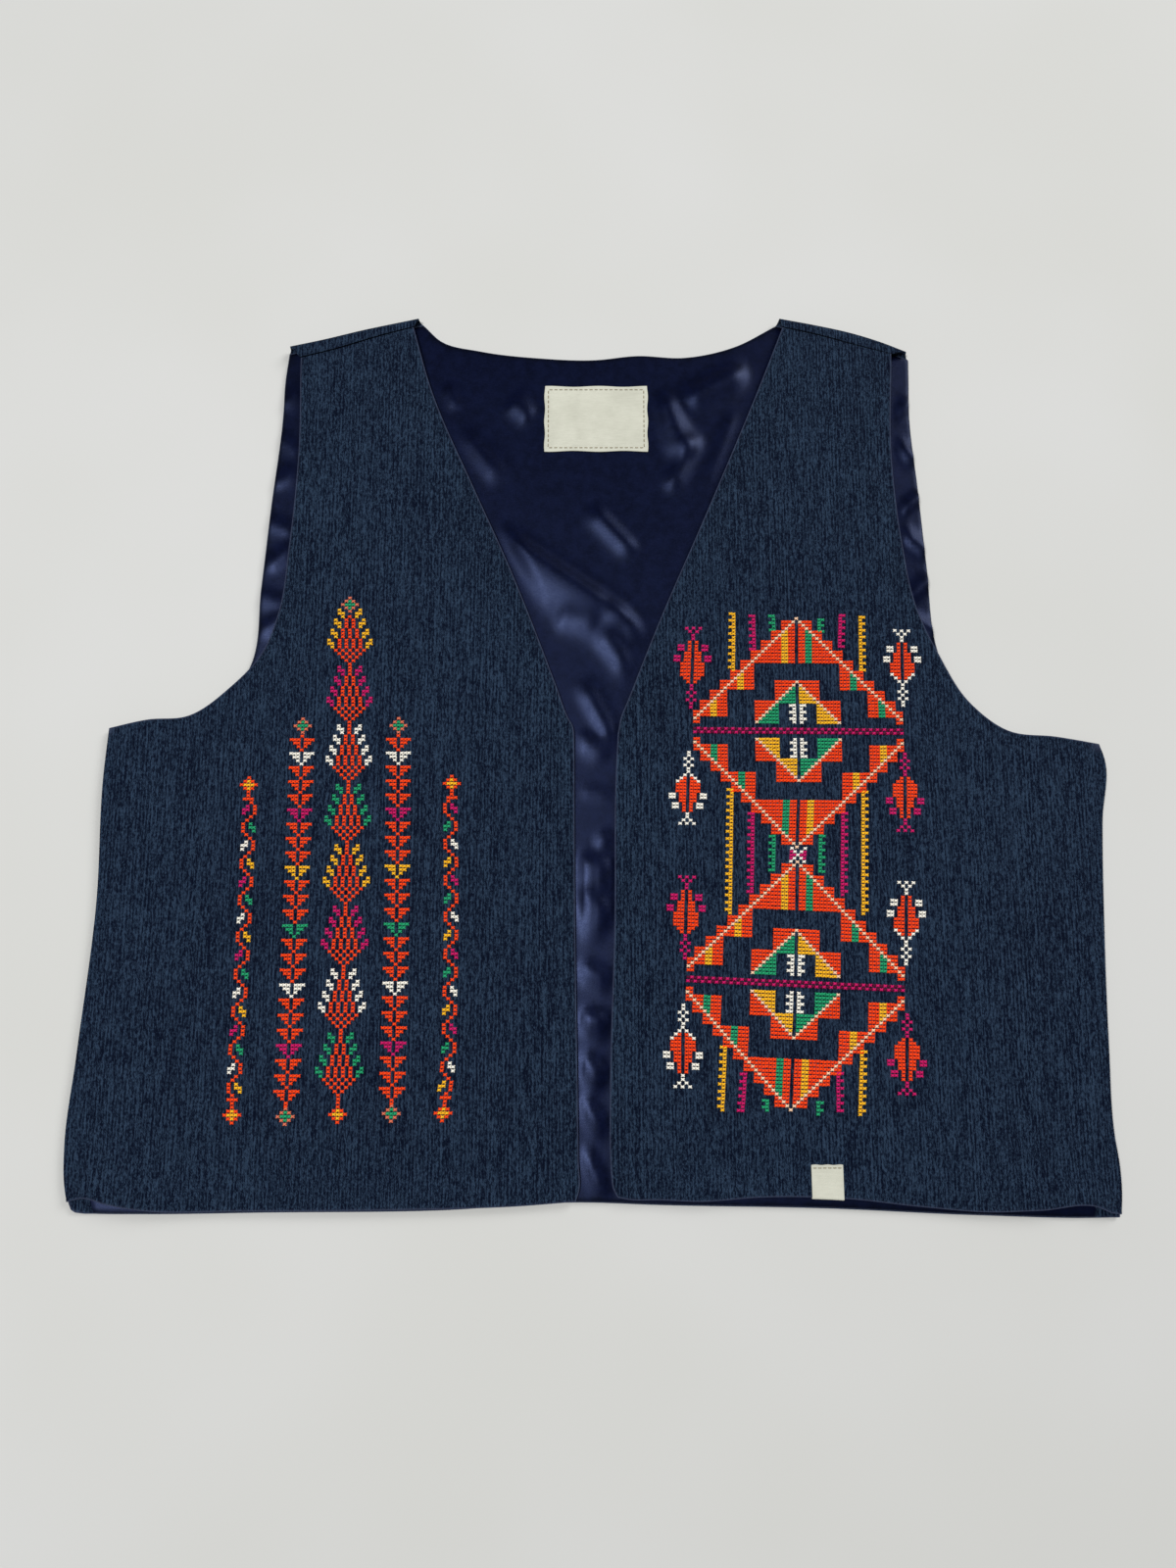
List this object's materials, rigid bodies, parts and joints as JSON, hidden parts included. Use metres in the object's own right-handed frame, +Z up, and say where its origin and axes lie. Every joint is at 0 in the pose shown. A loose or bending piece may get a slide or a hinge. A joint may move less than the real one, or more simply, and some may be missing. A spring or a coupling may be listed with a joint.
{
  "type": "embroidered folk vest",
  "caption": "Sleeveless open-front vest of dark denim with cross-stitch embroidery on both fronts and a satin lining, laid flat with its fronts up.",
  "frame": {"origin": "the middle of the garment's box, on the surface that it lies on", "axes": "+Z is up from the surface, +Y runs from the hem to the neck, and +X is the wearer's left"},
  "size_m": [0.5579, 0.5064, 0.0072],
  "materials": {
    "denim": "dark indigo denim with an uneven upright yarn, matt",
    "satin": "navy polyester satin, soft gloss",
    "label": "cream cotton tape, plain",
    "thread": "stranded cotton embroidery thread in orange-red, orange, yellow, green, magenta and white"
  },
  "bodies": {
    "root": {"back": "denim", "back_lining": "satin", "front_right": "denim", "front_left": "denim", "neck_label": "label", "hem_label": "label"}
  },
  "joints": []
}
